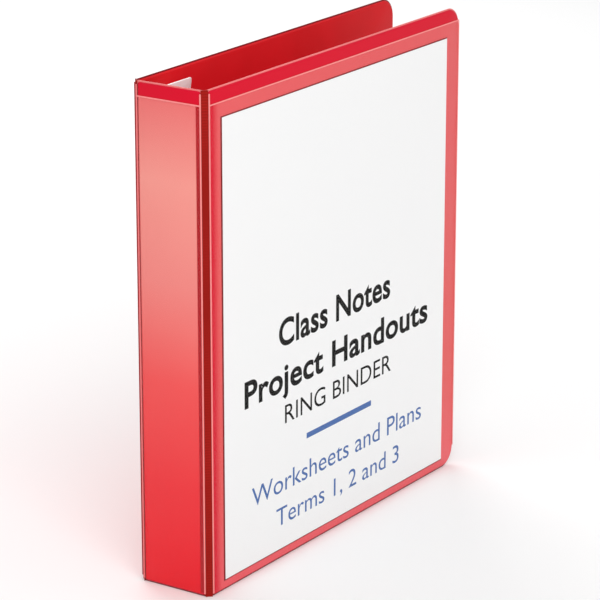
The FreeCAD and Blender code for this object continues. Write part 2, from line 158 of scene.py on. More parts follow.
@dataclass(frozen=True)
class CalenderedVinyl(Finish):
    """PVC sheet rolled between steel drums, which leaves a satin skin with a very fine grain."""

    name: str
    colour: str
    deep_colour: str
    roughness: float = 0.36
    gloss: float = 0.12
    grain_mm: float = 0.6
    cloud_mm: float = 45.0
    grain_core: tuple[float, float] = (0.3, 0.7)
    grain_shine: float = 0.05
    bump_mm: float = 0.0012
    rib_mm: float = 0.0

    def inputs(self, tree: bpy.types.NodeTree, place: bpy.types.NodeSocket) -> dict:
        """Add the patterns.

        Args:
            tree: The material's tree.
            place: The socket of its object coordinates.

        Returns:
            The shader's input values.
        """
        cloud = add_node(
            tree, "ShaderNodeTexNoise",
            {"Vector": place, "Scale": per_metre(self.cloud_mm), "Detail": 2.0, "Roughness": 0.5},
        )
        tone = add_node(tree, "ShaderNodeValToRGB", {"Fac": cloud.outputs["Fac"]})
        tints = (self.deep_colour, self.colour)
        for stop, position, tint in zip(tone.color_ramp.elements, NOISE_CORE, tints):
            stop.position = position
            stop.color = linear(tint)
        grain = add_node(
            tree, "ShaderNodeTexNoise",
            {"Vector": place, "Scale": per_metre(self.grain_mm), "Detail": 3.0, "Roughness": 0.55},
        )
        colour = tone.outputs["Color"]
        if self.rib_mm:
            ribs = add_node(
                tree, "ShaderNodeTexWave",
                {"Vector": place, "Scale": per_metre(self.rib_mm) / WAVE_BANDS},
                bands_direction="Z",
            )
            shade = add_node(
                tree, "ShaderNodeMix",
                {0: ribs.outputs["Fac"], 6: linear(self.deep_colour), 7: colour},
                data_type="RGBA",
            )
            colour = shade.outputs[2]
        shine = add_node(
            tree, "ShaderNodeMapRange",
            {
                "Value": grain.outputs["Fac"],
                "From Min": self.grain_core[0],
                "From Max": self.grain_core[1],
                "To Min": self.roughness - self.grain_shine,
                "To Max": self.roughness + self.grain_shine,
            },
        )
        bump = add_node(
            tree, "ShaderNodeBump",
            {"Height": grain.outputs["Fac"], "Distance": self.bump_mm * MM, "Strength": 1.0},
        )
        return {
            "Base Color": colour,
            "Roughness": shine.outputs["Result"],
            "IOR": VINYL_IOR,
            "Specular IOR Level": self.gloss,
            "Normal": bump.outputs["Normal"],
        }


@dataclass(frozen=True)
class VeiledVinyl(Finish):
    """Calendered vinyl seen through a clear pocket film.

    The film traps a thin, milky layer of air that turns the red salmon. It hugs the skin beside
    the weld, and wherever it has settled, so the red comes back there. The salmon follows a ramp
    by height that also holds painted light: a painted reflection, paler towards the top, on the
    spine, and a painted lightening at the bottom of the covers.
    """

    name: str
    colour: str
    veil_and_painted_light: tuple[tuple[float, str], ...]
    hug_axis: int
    hug_mm: tuple[float, float]
    film_top_mm: float
    roughness: float = 0.34
    gloss: float = 0.12
    wave_mm: float = 70.0
    wave_share: float = 0.06

    def inputs(self, tree: bpy.types.NodeTree, place: bpy.types.NodeSocket) -> dict:
        """Add the patterns.

        Args:
            tree: The material's tree.
            place: The socket of its object coordinates.

        Returns:
            The shader's input values.
        """
        axes = add_node(tree, "ShaderNodeSeparateXYZ", {"Vector": place})
        height = add_node(
            tree, "ShaderNodeMapRange",
            {"Value": axes.outputs["Z"], "From Max": self.film_top_mm * MM},
        )
        # The height ramp mixes the haze with painted light: a painted reflection on the spine and a
        # painted lightening at the covers' bottom.
        veil_and_painted_light = add_node(tree, "ShaderNodeValToRGB", {"Fac": height.outputs["Result"]})
        stops = veil_and_painted_light.color_ramp.elements
        while len(stops) < len(self.veil_and_painted_light):
            stops.new(0.5)
        for stop, (level_mm, tint) in zip(stops, self.veil_and_painted_light):
            stop.position = level_mm / self.film_top_mm
            stop.color = linear(tint)
        lift = add_node(
            tree, "ShaderNodeMapRange",
            {
                "Value": axes.outputs[self.hug_axis],
                "From Min": self.hug_mm[0] * MM,
                "From Max": self.hug_mm[1] * MM,
            },
            interpolation_type="SMOOTHSTEP",
        )
        under_film = add_node(
            tree, "ShaderNodeMath",
            {0: axes.outputs["Z"], 1: self.film_top_mm * MM},
            operation="LESS_THAN",
        )
        wave = add_node(
            tree, "ShaderNodeTexNoise",
            {"Vector": place, "Scale": per_metre(self.wave_mm), "Detail": 1.0},
        )
        patchy = add_node(
            tree, "ShaderNodeMapRange",
            {
                "Value": wave.outputs["Fac"],
                "From Min": NOISE_CORE[0],
                "From Max": NOISE_CORE[1],
                "To Min": 1.0 - self.wave_share,
                "To Max": 1.0,
            },
        )
        share = add_node(
            tree, "ShaderNodeMath",
            {0: lift.outputs["Result"], 1: under_film.outputs["Value"]},
            operation="MULTIPLY",
        )
        share = add_node(
            tree, "ShaderNodeMath",
            {0: share.outputs["Value"], 1: patchy.outputs["Result"]},
            operation="MULTIPLY",
        )
        tone = add_node(
            tree, "ShaderNodeMix",
            {0: share.outputs["Value"], 6: linear(self.colour), 7: veil_and_painted_light.outputs["Color"]},
            data_type="RGBA",
        )
        return {
            "Base Color": tone.outputs[2],
            "Roughness": self.roughness,
            "IOR": VINYL_IOR,
            "Specular IOR Level": self.gloss,
        }


@dataclass(frozen=True)
class ClearFilm(Finish):
    """Cast clear vinyl film: nearly invisible, with soft waves that show in its gloss."""

    name: str
    colour: str = "F6F0EE"
    alpha: float = 0.008
    roughness: float = 0.16
    wave_mm: float = 60.0
    bump_mm: float = 0.03

    def inputs(self, tree: bpy.types.NodeTree, place: bpy.types.NodeSocket) -> dict:
        """Add the patterns.

        Args:
            tree: The material's tree.
            place: The socket of its object coordinates.

        Returns:
            The shader's input values.
        """
        stretched = add_node(
            tree, "ShaderNodeMapping", {"Vector": place, "Scale": (1.0, 1.0, 0.35)}
        )
        wave = add_node(
            tree, "ShaderNodeTexNoise",
            {"Vector": stretched.outputs["Vector"], "Scale": per_metre(self.wave_mm), "Detail": 1.0},
        )
        bump = add_node(
            tree, "ShaderNodeBump",
            {"Height": wave.outputs["Fac"], "Distance": self.bump_mm * MM, "Strength": 1.0},
        )
        return {
            "Base Color": linear(self.colour),
            "Roughness": self.roughness,
            "IOR": VINYL_IOR,
            "Alpha": self.alpha,
            "Normal": bump.outputs["Normal"],
        }


@dataclass(frozen=True)
class CutFilmEdge(Finish):
    """Cut or heat-pressed edge of vinyl, whose colour holds painted light in part: pale for a painted
    highlight, darker for painted shade, and darker along its foot with painted shade.
    """

    name: str
    colour: str
    painted_foot_shade: str = ""
    foot_mm: float = 1.2
    roughness: float = 0.3
    gloss: float = 0.15
    mottle_mm: float = 2.5
    mottle_shade: Corner = (0.9, 0.75, 0.75)

    def inputs(self, tree: bpy.types.NodeTree, place: bpy.types.NodeSocket) -> dict:
        """Add the patterns.

        Args:
            tree: The material's tree.
            place: The socket of its object coordinates.

        Returns:
            The shader's input values.
        """
        mottle = add_node(
            tree, "ShaderNodeTexNoise",
            {"Vector": place, "Scale": per_metre(self.mottle_mm), "Detail": 2.0},
        )
        tone = add_node(tree, "ShaderNodeValToRGB", {"Fac": mottle.outputs["Fac"]})
        bright = linear(self.colour)
        shaded = [light * share for light, share in zip(bright, self.mottle_shade)]
        tone.color_ramp.elements[0].color = (*shaded, 1.0)
        tone.color_ramp.elements[1].color = bright
        axes = add_node(tree, "ShaderNodeSeparateXYZ", {"Vector": place})
        raised = add_node(
            tree, "ShaderNodeMath",
            {0: axes.outputs["Z"], 1: self.foot_mm * MM},
            operation="GREATER_THAN",
        )
        # Painted shade: below foot_mm the edge takes the darker foot colour.
        shade = add_node(
            tree, "ShaderNodeMix",
            {
                0: raised.outputs["Value"],
                6: linear(self.painted_foot_shade or self.colour),
                7: tone.outputs["Color"],
            },
            data_type="RGBA",
        )
        return {
            "Base Color": shade.outputs[2],
            "Roughness": self.roughness,
            "IOR": VINYL_IOR,
            "Specular IOR Level": self.gloss,
        }


@dataclass(frozen=True)
class PulpSheet(Finish):
    """Paper or pressed board: matt, with a mottle of fibres that is faint on coated paper."""

    name: str
    colour: str
    shade: str
    fibre_mm: float = 1.6
    detail: float = 4.0
    grit: float = 0.6
    mottle: tuple[float, float] = (0.0, 1.0)
    roughness: float = 0.62

    def inputs(self, tree: bpy.types.NodeTree, place: bpy.types.NodeSocket) -> dict:
        """Add the patterns.

        Args:
            tree: The material's tree.
            place: The socket of its object coordinates.

        Returns:
            The shader's input values.
        """
        fibre = add_node(
            tree, "ShaderNodeTexNoise",
            {
                "Vector": place,
                "Scale": per_metre(self.fibre_mm),
                "Detail": self.detail,
                "Roughness": self.grit,
            },
        )
        tone = add_node(tree, "ShaderNodeValToRGB", {"Fac": fibre.outputs["Fac"]})
        for stop, position, tint in zip(
            tone.color_ramp.elements, self.mottle, (self.shade, self.colour)
        ):
            stop.position = position
            stop.color = linear(tint)
        return {"Base Color": tone.outputs["Color"], "Roughness": self.roughness, "IOR": RESIN_IOR}


@dataclass(frozen=True)
class PrintedInk(Finish):
    """Offset ink on paper: even, with the paper's fibres just showing in its gloss."""

    name: str
    colour: str
    roughness: float = 0.5
    gloss: float = 0.06
    fibre_mm: float = 1.2
    fibre_shine: float = 0.08

    def inputs(self, tree: bpy.types.NodeTree, place: bpy.types.NodeSocket) -> dict:
        """Add the patterns.

        Args:
            tree: The material's tree.
            place: The socket of its object coordinates.

        Returns:
            The shader's input values.
        """
        fibre = add_node(
            tree, "ShaderNodeTexNoise", {"Vector": place, "Scale": per_metre(self.fibre_mm)}
        )
        shine = add_node(
            tree, "ShaderNodeMapRange",
            {
                "Value": fibre.outputs["Fac"],
                "To Min": self.roughness - self.fibre_shine,
                "To Max": self.roughness + self.fibre_shine,
            },
        )
        return {
            "Base Color": linear(self.colour),
            "Roughness": shine.outputs["Result"],
            "IOR": RESIN_IOR,
            "Specular IOR Level": self.gloss,
        }


@dataclass(frozen=True)
class PlatedSteel(Finish):
    """Steel under bright nickel, polished on the rings and left brushed on the pressings."""

    name: str
    colour: str
    roughness: float
    smear_mm: float = 14.0
    grain_mm: float = 0.35
    grain_stretch: Corner = (1.0, 1.0, 0.03)
    bump_mm: float = 0.0015

    def inputs(self, tree: bpy.types.NodeTree, place: bpy.types.NodeSocket) -> dict:
        """Add the patterns.

        Args:
            tree: The material's tree.
            place: The socket of its object coordinates.

        Returns:
            The shader's input values.
        """
        smear = add_node(
            tree, "ShaderNodeTexNoise",
            {"Vector": place, "Scale": per_metre(self.smear_mm), "Detail": 3.0},
        )
        shine = add_node(
            tree, "ShaderNodeMapRange",
            {
                "Value": smear.outputs["Fac"],
                "From Min": NOISE_CORE[0],
                "From Max": NOISE_CORE[1],
                "To Min": self.roughness * 0.8,
                "To Max": self.roughness * 1.25,
            },
        )
        drawn = add_node(tree, "ShaderNodeMapping", {"Vector": place, "Scale": self.grain_stretch})
        grain = add_node(
            tree, "ShaderNodeTexNoise",
            {"Vector": drawn.outputs["Vector"], "Scale": per_metre(self.grain_mm), "Detail": 2.0},
        )
        bump = add_node(
            tree, "ShaderNodeBump",
            {"Height": grain.outputs["Fac"], "Distance": self.bump_mm * MM, "Strength": 1.0},
        )
        return {
            "Base Color": linear(self.colour),
            "Metallic": 1.0,
            "Roughness": shine.outputs["Result"],
            "Normal": bump.outputs["Normal"],
        }


@dataclass(frozen=True)
class CoatedSteel(Finish):
    """Pressed steel under baked white powder coat, which leaves a faint orange peel."""

    name: str
    colour: str
    roughness: float = 0.34
    peel_mm: float = 1.1
    bump_mm: float = 0.004

    def inputs(self, tree: bpy.types.NodeTree, place: bpy.types.NodeSocket) -> dict:
        """Add the patterns.

        Args:
            tree: The material's tree.
            place: The socket of its object coordinates.

        Returns:
            The shader's input values.
        """
        peel = add_node(
            tree, "ShaderNodeTexNoise", {"Vector": place, "Scale": per_metre(self.peel_mm)}
        )
        bump = add_node(
            tree, "ShaderNodeBump",
            {"Height": peel.outputs["Fac"], "Distance": self.bump_mm * MM, "Strength": 1.0},
        )
        return {
            "Base Color": linear(self.colour),
            "Roughness": self.roughness,
            "IOR": RESIN_IOR,
            "Normal": bump.outputs["Normal"],
        }


@dataclass(frozen=True)
class StudioPaper(Finish):
    """Pale seamless paper under and behind the object."""

    name: str
    colour: str

    def inputs(self, tree: bpy.types.NodeTree, place: bpy.types.NodeSocket) -> dict:
        """Add the patterns.

        Args:
            tree: The material's tree.
            place: The socket of its object coordinates.

        Returns:
            The shader's input values.
        """
        return {"Base Color": linear(self.colour), "Roughness": 0.9, "Specular IOR Level": 0.1}


class Finishes:
    """Every finish of the binder, made once."""

    def __init__(self) -> None:
        """Build the materials."""
        # Calendered PVC: an even, saturated red with a low satin shine and almost no grain.
        self.vinyl = CalenderedVinyl("red_calendered_vinyl", "DA0A30", "D20A2C").build()
        self.liner = CalenderedVinyl("red_liner_vinyl", "DE1A24", "D41820", roughness=0.45).build()
        # Unbacked PVC at the hinges: duller, browner and finely ribbed, so that it bends there.
        self.hinge = CalenderedVinyl(
            "red_ribbed_hinge_vinyl", "A81A14", "92140C", roughness=0.5, gloss=0.08, rib_mm=1.6
        ).build()
        # Painted shade beside the welds: a darker red vinyl where the skin turns away from the light.
        self.painted_shade_vinyl = CalenderedVinyl("red_vinyl_painted_shade", "B4101C", "AA0E18").build()
        # Unembossed PVC pockets: the same red, a little glossier.
        self.pocket = CalenderedVinyl("red_pocket_vinyl", "D01620", "C6121C", gloss=0.25).build()
        # The same vinyl under film: salmon where air lies between, red where the film hugs it.
        # On the covers the ramp is painted a little lighter at the bottom: painted light against shade.
        self.cover_veil = VeiledVinyl(
            "red_vinyl_under_cover_film", "D8082A",
            veil_and_painted_light=((0.0, "EE5E66"), (60.0, "E75A58"), (286.0, "E65C5F")),
            hug_axis=0, hug_mm=(-127.2, -119.5), film_top_mm=286.4,
        ).build()
        # On the spine the ramp is a painted reflection of the film: red at the bottom, paler towards the
        # top.
        self.spine_veil_and_painted_reflection = VeiledVinyl(
            "red_vinyl_under_spine_film_painted_reflection", "D8082A",
            veil_and_painted_light=(
                (15.0, "EA1424"), (65.0, "EC3138"), (124.0, "F05252"), (183.0, "EF8680"),
                (240.0, "F3988E"), (286.0, "EA7270"),
            ),
            hug_axis=1, hug_mm=(-19.4, -17.6), film_top_mm=286.4,
        ).build()
        # Cast PVC film: colourless, with a soft and slightly wavy gloss.
        self.film = ClearFilm("clear_cast_vinyl_film").build()
        # Cut film edges and weld beads: pale lines, partly the film's own cut edge and partly a painted
        # highlight.
        self.edge = CutFilmEdge("clear_vinyl_cut_edge", "FF9A98").build()
        # Weld lips: a painted highlight makes the front and spine lip pale; the back lip is a darker copy
        # with painted shade; both get painted shade along their foot.
        self.lip = CutFilmEdge("red_vinyl_weld_lip", "F08484", painted_foot_shade="7C0E12").build()
        self.painted_shade_lip = CutFilmEdge("red_vinyl_weld_lip_painted_shade", "8A1A1E", painted_foot_shade="7C0E12").build()
        # Baked powder coat: bright white with a faint orange peel.
        self.lever = CoatedSteel("white_coated_steel", "FFFFFF").build()
        # Coated printing paper: neutral white and matt.
        self.paper = PulpSheet("white_coated_paper", "F6F6F6", "F5F5F5").build()
        # Offset ink: flat and dense, hardly glossier than the paper.
        self.black_ink = PrintedInk("black_offset_ink", "050505").build()
        self.blue_ink = PrintedInk("blue_offset_ink", "4E70AC").build()
        # Recycled chipboard: grey-brown and dull, with dark flecks.
        self.board = PulpSheet(
            "grey_chipboard", "9C8F7C", "6E6455", fibre_mm=0.8, detail=5.0, grit=0.7,
            mottle=(0.35, 0.55), roughness=0.9,
        ).build()
        # Bright nickel over drawn wire: sharp reflections; the pressings keep a brushed grain.
        self.nickel = PlatedSteel("bright_nickel_plate", "DADCE0", 0.12).build()
        self.pressed = PlatedSteel("brushed_nickel_pressing", "CFD1D4", 0.26, bump_mm=0.001).build()
        # Painted shadow: a thin dark red line around the sheet's edges, where shade falls along the
        # film's lift.
        self.shadow_line = CalenderedVinyl(
            "painted_shadow_line", "861A1E", "781618", roughness=0.6, gloss=0.05
        ).build()


# ---------------------------------------------------------------- mesh building


@dataclass
class Piece:
    """A mesh under construction that ends as one named object in the row frame."""

    name: str
    mesh: bmesh.types.BMesh = field(default_factory=bmesh.new)

    def block(self, low: Corner, high: Corner) -> None:
        """Add a box between two corners, given in millimetres.

        Args:
            low: The lowest corner.
            high: The highest corner.
        """
        made = bmesh.ops.create_cube(self.mesh, size=1.0)["verts"]
        size = [(h - l) * MM for l, h in zip(low, high)]
        middle = Vector([(h + l) / 2 * MM for l, h in zip(low, high)])
        bmesh.ops.scale(self.mesh, vec=size, verts=made)
        bmesh.ops.translate(self.mesh, vec=middle, verts=made)

    def round_edges(self, keep: Callable[[bmesh.types.BMEdge], bool], radius: float, steps: int) -> None:
        """Bevel the edges that a test picks.

        Args:
            keep: Test for an edge.
            radius: Size of the bevel in millimetres.
            steps: Number of segments.
        """
        edges = [edge for edge in self.mesh.edges if keep(edge)]
        bmesh.ops.bevel(
            self.mesh, geom=edges, offset=radius * MM, offset_type="OFFSET", segments=steps,
            profile=0.5, affect="EDGES", material=-1, clamp_overlap=True,
        )

    def soften(self, radius: float, steps: int = 2, angle: float = 40.0) -> None:
        """Bevel every edge sharper than an angle.

        Args:
            radius: Size of the bevel in millimetres.
            steps: Number of segments.
            angle: Smallest angle between faces, in degrees.
        """
        limit = math.radians(angle)
        self.round_edges(
            lambda edge: len(edge.link_faces) == 2 and edge.calc_face_angle() > limit, radius, steps
        )

    def mark(self, pick: Callable[[bmesh.types.BMFace], bool], index: int) -> None:
        """Give the faces that a test picks another of the piece's materials.

        Args:
            pick: Test for a face.
            index: The material's place in the piece's list.
        """
        for face in self.mesh.faces:
            if pick(face):
                face.material_index = index

    def finish(
        self,
        material: bpy.types.Material,
        body: str,
        slot: str,
        smooth: float = 35.0,
        extra: Sequence[bpy.types.Material] = (),
    ) -> bpy.types.Object:
        """Turn the mesh into an object that rides on a body.

        Args:
            material: The finish.
            body: The body that carries the piece, or an empty name to leave it free.
            slot: The record's material slot; not used.
            smooth: Edges under this angle, in degrees, are shaded smooth.
            extra: Further finishes, for the faces that were marked.

        Returns:
            The new object.
        """
        limit = math.radians(smooth)
        for face in self.mesh.faces:
            face.smooth = True
        for edge in self.mesh.edges:
            if len(edge.link_faces) == 2:
                edge.smooth = edge.calc_face_angle() < limit
        data = bpy.data.meshes.new(self.name)
        self.mesh.to_mesh(data)
        self.mesh.free()
        obj = bpy.data.objects.new(self.name, data)
        bpy.context.scene.collection.objects.link(obj)
        for entry in (material, *extra):
            data.materials.append(entry)
        if body:
            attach(obj, body)
        LOG.info("made %s on %s", self.name, body or "a bend")
        return obj


def runs_along(edge: bmesh.types.BMEdge, axis: int) -> bool:
    """Say whether an edge is parallel to a row axis."""
    step = edge.verts[1].co - edge.verts[0].co
    return all(abs(step[i]) < 1e-7 for i in range(3) if i != axis)


class Side(Enum):
    """Which cover a panel is; the value is the sign of its Y."""

    FRONT = -1
    BACK = 1


@dataclass
class Stack:
    """Sizes shared by every panel of the case, in millimetres."""

    height: float = 295.0
    width: float = 266.0
    thickness: float = 50.5
    setback: float = 3.5
    corner: float = 12.0
    film: float = 0.2
    skin_depth: float = 0.4
    panel_depth: float = 3.0
    lip_inset: float = 1.5
    lip_half: float = 0.35
    wrap_round: float = 1.2
    lip_round: float = 0.2
    board_depths: tuple[float, float] = (0.75, 2.65)
    board_play: float = 0.8
    film_inset: float = 1.0
    film_top: float = 286.0
    film_edge: float = 0.8
    edge_sink: float = 0.02
    bead_width: float = 0.75
    bead_overlap: float = 0.1
    bead_proud: float = 0.05
    bead_sink: float = 0.2
    bead_levels: tuple[float, float] = (2.0, 293.0)
    sheet_low: tuple[float, float] = (-117.5, 6.5)
    sheet_size: tuple[float, float] = (235.5, 271.0)

    @property
    def hinge_x(self) -> float:
        """X of the weld line where a cover starts."""
        return -self.width / 2 + self.setback

    @property
    def fore_x(self) -> float:
        """X of the covers' fore edge."""
        return self.width / 2

    @property
    def spine_half(self) -> float:
        """Half of the spine's width between its weld lines."""
        return self.thickness / 2 - self.setback


@dataclass
class Panel:
    """A stiff panel of the case: board, wrapped vinyl, weld lip and clear pocket."""

    tag: str
    body: str
    finishes: Finishes
    stack: Stack = field(default_factory=Stack)

    def corners(self, outer: float, inner: float, inset: float, top: float) -> tuple[Corner, Corner]:
        """Lowest and highest corner of a layer between two depths."""
        raise NotImplementedError

    def shape(self, piece: Piece, inset: float, cut_top: bool) -> None:
        """Shape a layer's outline; a spine's stays square."""

    def outwardness(self, face: bmesh.types.BMFace) -> float:
        """Say how far a face looks outwards: 1 for straight out and -1 for straight in."""
        raise NotImplementedError

    def slab(self, name: str, outer: float, inner: float, inset: float, top: float = 0.0) -> Piece:
        """Start a layer of the panel.

        Args:
            name: Piece name, after the panel's.
            outer: Depth of its outer face.
            inner: Depth of its inner face.
            inset: Distance from the panel's outline.
            top: Height of its top edge, where that is lower than the outline's.

        Returns:
            The piece.
        """
        piece = Piece(f"{self.tag}_{name}")
        piece.block(*self.corners(outer, inner, inset, top or self.stack.height - inset))
        self.shape(piece, inset, bool(top))
        return piece

    def strip(
        self, name: str, low: Corner, high: Corner, finish: bpy.types.Material,
        slot: str = "clear_film", soft: bool = False,
    ) -> None:
        """Add a straight strip, such as a film edge or a weld bead.

        Args:
            name: Piece name, after the panel's.
            low: Its lowest corner.
            high: Its highest corner.
            finish: Its finish.
            slot: The record's material slot.
            soft: Whether its edges are rounded.
        """
        piece = Piece(f"{self.tag}_{name}")
        piece.block(low, high)
        if soft:
            piece.soften(self.stack.lip_round)
        piece.finish(finish, self.body, slot)

    def layers(self, veil_and_painted_light: bpy.types.Material, lip_finish: bpy.types.Material) -> None:
        """Make the board, the vinyl around it, its weld lip and the film.

        Args:
            veil_and_painted_light: Finish of the vinyl under the film.
            lip_finish: Finish of the weld lip.
        """
        s, looks = self.stack, self.finishes
        board = self.slab("chipboard", *s.board_depths, s.lip_inset + s.board_play)
        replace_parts(board.finish(looks.board, self.body, "board"), f"{self.tag}_board")
        wrap = self.slab("vinyl_wrap", s.skin_depth, s.panel_depth, s.lip_inset / 2)
        wrap.soften(s.wrap_round, 4)
        wrap.mark(lambda face: self.outwardness(face) < -0.5, 1)
        wrap.mark(lambda face: self.outwardness(face) > 0.9, 2)
        case = wrap.finish(looks.vinyl, self.body, "red_vinyl", 60.0, (looks.liner, veil_and_painted_light))
        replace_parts(case, f"{self.tag}_outer_skin", f"{self.tag}_liner")
        middle = (s.skin_depth + s.panel_depth) / 2
        lip = self.slab("weld_lip", middle - s.lip_half, middle + s.lip_half, 0.0)
        lip.soften(s.lip_round)
        lip.finish(lip_finish, self.body, "red_vinyl", 60.0)
        film = self.slab("clear_film", 0.0, s.film, s.film_inset, s.film_top)
        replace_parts(film.finish(looks.film, self.body, "clear_film"), f"{self.tag}_view_pocket")


@dataclass
class Cover(Panel):
    """One cover, with rounded corners at its fore edge."""

    side: Side = Side.FRONT
    edge_start: float = 0.3
    edge_stop: float = 1.6
    fore_weld: tuple[float, float] = (2.0, 1.3)
    corner_steps: int = 14

    def depths(self, outer: float, inner: float) -> tuple[float, float]:
        """Lowest and highest Y of a layer between two depths below the outer face."""
        face = self.side.value * self.stack.thickness / 2
        return tuple(sorted(face - self.side.value * depth for depth in (outer, inner)))

    def corners(self, outer: float, inner: float, inset: float, top: float) -> tuple[Corner, Corner]:
        """Lowest and highest corner of a layer between two depths."""
        s, (y_low, y_high) = self.stack, self.depths(outer, inner)
        return (s.hinge_x + inset, y_low, inset), (s.fore_x - inset, y_high, top)

    def outwardness(self, face: bmesh.types.BMFace) -> float:
        """Say how far a face looks outwards."""
        return face.normal.y * self.side.value

    def shape(self, piece: Piece, inset: float, cut_top: bool) -> None:
        """Round a layer's corners at the fore edge.

        Args:
            piece: The layer.
            inset: Its distance from the cover's outline.
            cut_top: Whether its top edge is cut straight, so that only its low corner is round.
        """
        s = self.stack
        fore = (s.fore_x - inset) * MM

        def at_corner(edge: bmesh.types.BMEdge) -> bool:
            """Pick the edges that run through the layer at the fore edge."""
            place = edge.verts[0].co
            low_enough = not cut_top or place.z < s.height / 2 * MM
            return runs_along(edge, 1) and abs(place.x - fore) < 1e-6 and low_enough

        piece.round_edges(at_corner, s.corner - inset, self.corner_steps)

    def build(self) -> None:
        """Make the cover's pieces."""
        s, looks = self.stack, self.finishes
        front = self.side is Side.FRONT
        self.layers(looks.cover_veil, looks.lip if front else looks.painted_shade_lip)
        y_low, y_high = self.depths(0.0, s.film + s.edge_sink)
        self.strip(
            "film_top_edge",
            (s.hinge_x + self.edge_start, y_low, s.film_top),
            (s.fore_x - self.edge_stop, y_high, s.film_top + s.film_edge),
            looks.edge,
        )
        start, stop = (s.fore_x - distance for distance in self.fore_weld)
        self.strip("fore_weld", (start, y_low, s.corner), (stop, y_high, s.film_top), looks.edge)
        y_low, y_high = self.depths(-s.bead_proud, s.skin_depth + s.bead_sink)
        # On the back cover the hinge weld bead takes the darker vinyl of painted shade.
        self.strip(
            "hinge_weld",
            (s.hinge_x - s.bead_overlap, y_low, s.bead_levels[0]),
            (s.hinge_x + s.bead_width, y_high, s.bead_levels[1]),
            looks.edge if front else looks.painted_shade_vinyl,
            "clear_film" if front else "red_vinyl",
            soft=True,
        )


@dataclass
class Spine(Panel):
    """The spine, with a band of painted shade beside its front weld."""

    edge_inset: float = 0.3
    band_offsets: tuple[float, float] = (0.7, 3.3)
    band_depths: tuple[float, float] = (-0.04, 0.1)
    band_low: float = 2.5

    def corners(self, outer: float, inner: float, inset: float, top: float) -> tuple[Corner, Corner]:
        """Lowest and highest corner of a layer between two depths."""
        x_out, half = -self.stack.width / 2, self.stack.spine_half - inset
        return (x_out + outer, -half, inset), (x_out + inner, half, top)

    def outwardness(self, face: bmesh.types.BMFace) -> float:
        """Say how far a face looks outwards."""
        return -face.normal.x

    def build(self) -> None:
        """Make the spine's pieces."""
        s, looks = self.stack, self.finishes
        self.layers(looks.spine_veil_and_painted_reflection, looks.lip)
        x_out, half = -s.width / 2, s.spine_half
        self.strip(
            "film_top_edge",
            (x_out, -half + self.edge_inset, s.film_top),
            (x_out + s.film + s.edge_sink, half - self.edge_inset, s.film_top + s.film_edge),
            looks.edge,
        )
        start, stop = (-half + offset for offset in self.band_offsets)
        low, high = (x_out + s.skin_depth + depth for depth in self.band_depths)
        # Painted shade: a darker band of vinyl beside the front weld.
        self.strip(
            "pressed_band", (low, start, self.band_low), (high, stop, s.film_top),
            looks.painted_shade_vinyl, "red_vinyl",
        )
        low, high = x_out - s.bead_proud, x_out + s.skin_depth + s.bead_sink
        for name, sign, finish, slot in (
            ("weld_front", -1, looks.edge, "clear_film"),
            ("weld_back", 1, looks.lip, "red_vinyl"),
        ):
            ends = sorted((sign * (half - s.bead_width), sign * (half + s.bead_overlap)))
            self.strip(
                name, (low, ends[0], s.bead_levels[0]), (high, ends[1], s.bead_levels[1]),
                finish, slot, soft=True,
            )


@dataclass
class HingeStrip:
    """Bare vinyl strip that bends between a cover and the spine."""

    side: Side
    cover_body: str
    finishes: Finishes
    across: int = 10
    along: int = 60
    dip: float = 0.35
    tuck: float = 0.7
    sheet: float = 0.55
    stack: Stack = field(default_factory=Stack)

    def build(self) -> None:
        """Make the strip as a thin curved sheet that spans from the spine to the cover."""
        s = self.stack
        sign = self.side.value
        spine_end = Vector((-s.width / 2 + self.tuck, sign * s.spine_half, 0.0)) * MM
        cover_end = Vector((s.hinge_x, sign * (s.thickness / 2 - self.tuck), 0.0)) * MM
        run = cover_end - spine_end
        outward = Vector((-1.0, sign, 0.0)).normalized()
        tag = self.side.name.lower()
        piece = Piece(f"{tag}_hinge_vinyl")
        bmesh.ops.create_grid(piece.mesh, x_segments=self.across, y_segments=self.along, size=0.5)
        for vert in piece.mesh.verts:
            share = vert.co.x + 0.5
            level = (vert.co.y + 0.5) * s.height * MM
            dip = math.sin(math.pi * share) * self.dip * MM
            vert.co = spine_end + run * share - outward * dip + Vector((0.0, 0.0, level))
        bmesh.ops.recalc_face_normals(piece.mesh, faces=piece.mesh.faces[:])
        facing = sum((face.normal for face in piece.mesh.faces), Vector())
        if facing.dot(outward) < 0:
            bmesh.ops.reverse_faces(piece.mesh, faces=piece.mesh.faces[:])
        bmesh.ops.solidify(piece.mesh, geom=piece.mesh.faces[:], thickness=self.sheet * MM)
        strip = piece.finish(self.finishes.hinge, "", "red_vinyl", 50.0)
        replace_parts(strip, f"{tag}_hinge_strip")
        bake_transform(strip)


class Ink(Enum):
    """Inks on the sheet."""

    BLACK = "black_ink"
    BLUE = "blue_ink"


@dataclass(frozen=True)
class Line:
    """One printed line: words, left end, base line, capital height, width and extra stroke weight."""

    name: str
    words: str
    x_mm: float
    z_mm: float
    cap_mm: float
    width_mm: float
    weight: float
    ink: Ink


